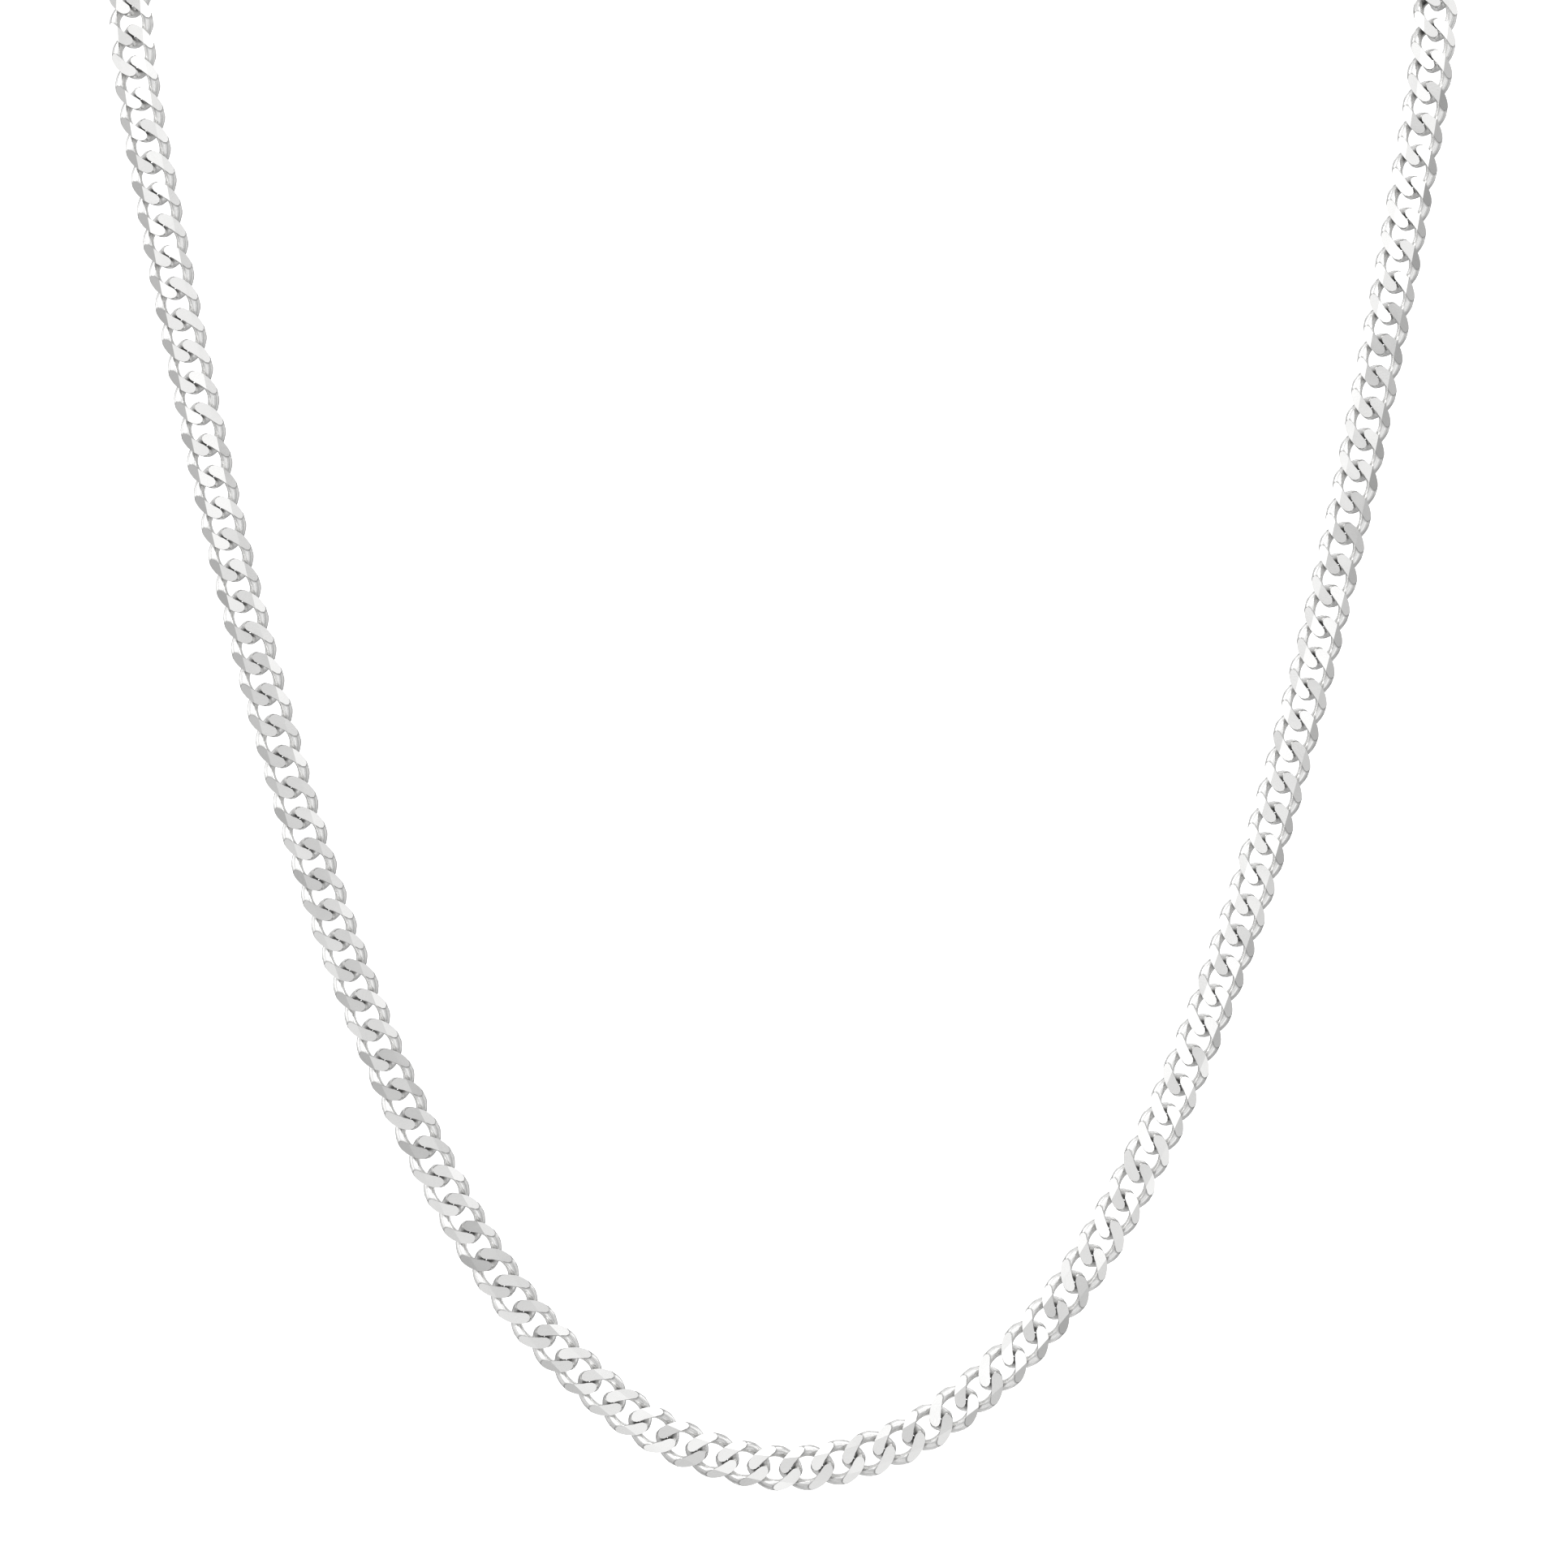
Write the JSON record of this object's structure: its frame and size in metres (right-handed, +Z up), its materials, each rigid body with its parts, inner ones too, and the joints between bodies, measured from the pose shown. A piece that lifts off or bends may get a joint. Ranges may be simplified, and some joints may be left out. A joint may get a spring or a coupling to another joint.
{
  "type": "curb chain necklace",
  "caption": "Closed necklace of flat bevelled curb links, hung as on a neck, with a jump ring at each end and a plain clasp at the nape.",
  "frame": {"origin": "where the inner face of the clasp rests on the nape of the neck", "axes": "+Z up, the front of the necklace towards -Y, the wearer's left towards +X"},
  "size_m": [0.1334, 0.1111, 0.1511],
  "materials": {
    "chain": "polished silver",
    "findings": "polished silver"
  },
  "bodies": {
    "root": {"chain_left": "chain", "chain_right": "chain", "ring_left": "findings", "ring_right": "findings", "clasp": "findings"}
  },
  "joints": []
}
